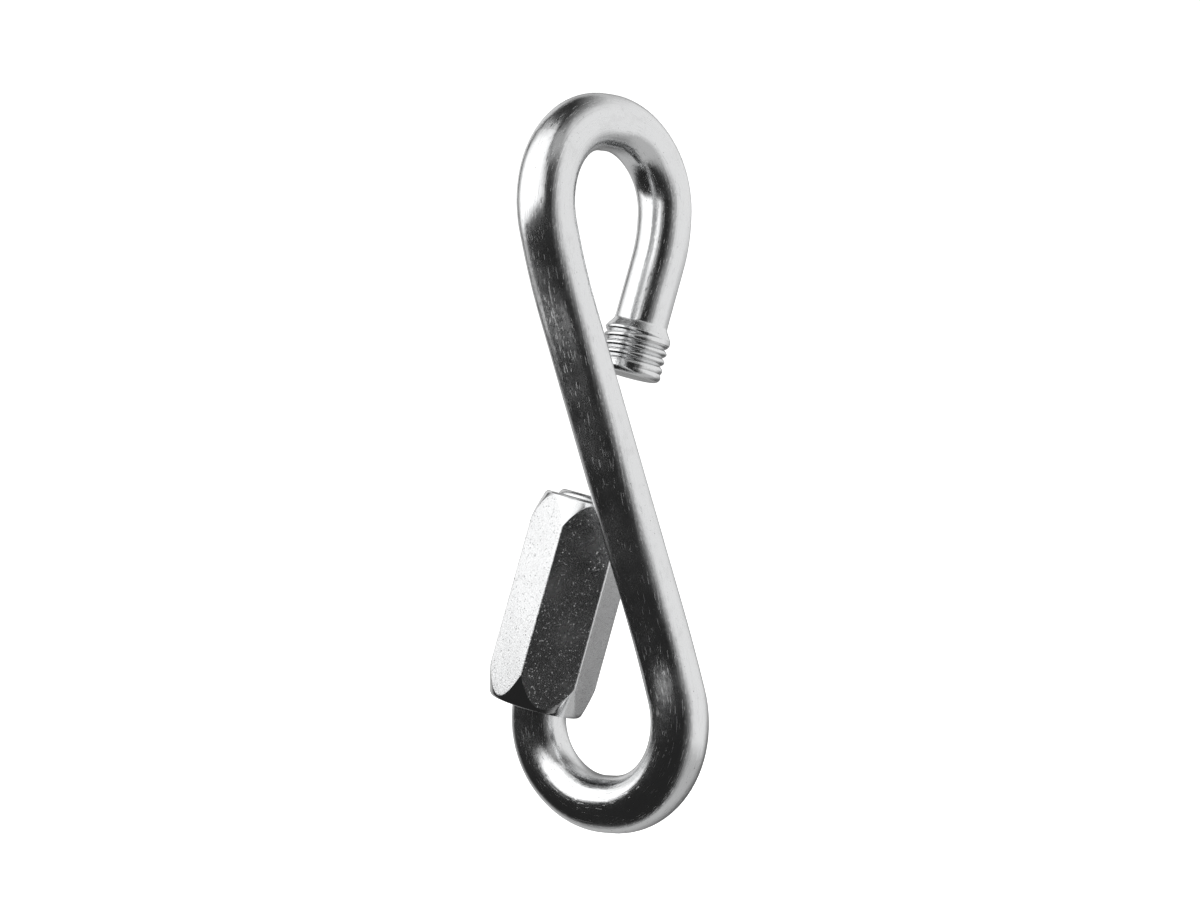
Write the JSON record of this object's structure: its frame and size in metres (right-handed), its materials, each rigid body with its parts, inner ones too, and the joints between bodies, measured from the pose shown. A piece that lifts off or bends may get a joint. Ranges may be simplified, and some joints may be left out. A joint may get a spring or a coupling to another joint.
{
  "type": "twisted screw quick link",
  "caption": "Round-bar screw link with two eyes a quarter turn apart and a long hex sleeve nut that winds up to close the gate; shown open.",
  "frame": {"origin": "the point inside the upper eye's crown that carries the load, on the link's long axis", "axes": "+Z along the link's long axis, out of the upper eye; the upper eye lies in the XZ plane with the gate side at +X; the lower eye lies in the YZ plane with the gate side at +Y"},
  "size_m": [0.034, 0.0371, 0.1048],
  "materials": {
    "bar_zinc": "bright zinc plate over drawn round bar",
    "nut_zinc": "bright zinc plate over a finely grained hex bar"
  },
  "bodies": {
    "link": {"link_body": "bar_zinc"},
    "nut": {"sleeve_nut": "nut_zinc"}
  },
  "joints": [
    {"name": "nut_travel", "type": "slide", "parent": "link", "child": "nut", "axis": [0.1944, -0.1944, 0.9615], "range_m": [0, 0.0256]}
  ]
}
